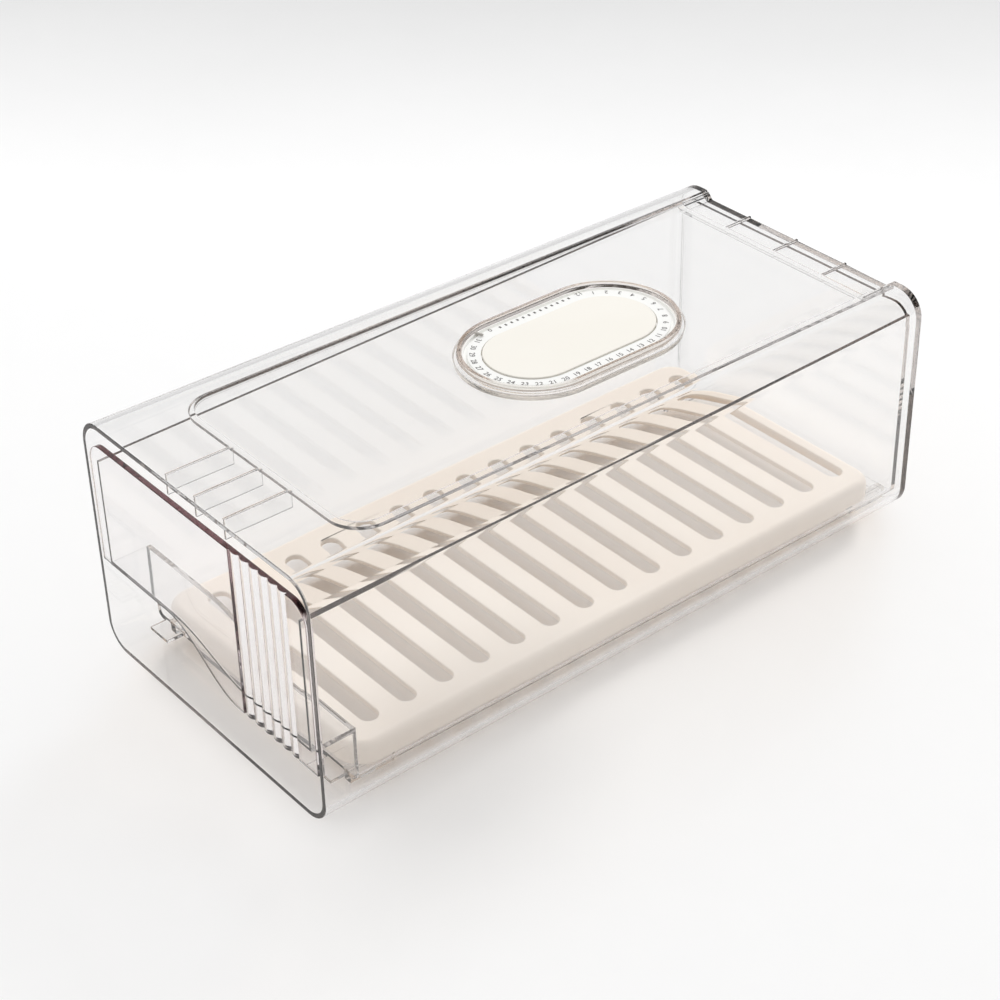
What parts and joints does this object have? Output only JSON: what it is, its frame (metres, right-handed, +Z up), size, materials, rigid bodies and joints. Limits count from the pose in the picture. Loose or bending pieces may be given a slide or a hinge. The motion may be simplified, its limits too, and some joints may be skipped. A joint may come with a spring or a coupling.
{
  "type": "fridge drawer organizer",
  "caption": "Clear stackable fridge bin with a pull-out drawer, fluted front with a finger recess, lift-out slotted drain tray and an oval date dial in the top.",
  "frame": {"origin": "middle of the flat underside, halfway between the front rim and the back", "axes": "+Z up, -Y towards the front rim, where the drawer opens, +X to the right seen from the front"},
  "size_m": [0.16, 0.3342, 0.1165],
  "materials": {
    "clear_housing": "clear, faintly warm, high gloss",
    "clear_drawer": "clear, faintly warm, high gloss",
    "clear_front": "clear with dark mauve edges, high gloss",
    "clear_dial": "clear, faintly warm, high gloss",
    "cream_tray": "opaque cream, satin",
    "white_ring": "opaque white, satin, with printed numbers",
    "cream_plate": "opaque ivory, satin",
    "grey_marker": "satin grey"
  },
  "bodies": {
    "housing": {"housing": "clear_housing", "dial_bezel": "clear_dial", "number_ring": "white_ring", "dial_plate": "cream_plate"},
    "drawer": {"drawer_tub": "clear_drawer", "drawer_front": "clear_front"},
    "tray": {"drain_tray": "cream_tray"},
    "marker": {"date_marker": "grey_marker"}
  },
  "joints": [
    {"name": "drawer_slide", "type": "slide", "parent": "housing", "child": "drawer", "axis": [0, -1, 0], "range_m": [0, 0.29]},
    {"name": "tray_lift", "type": "slide", "parent": "drawer", "child": "tray", "axis": [0, 0, 1], "range_m": [0, 0.08]},
    {"name": "marker_turn", "type": "hinge", "parent": "housing", "child": "marker", "pos_m": [0, 0.00678, 0.1128], "axis": [0, 0.0075, 1], "range_deg": [-15, 160]}
  ]
}
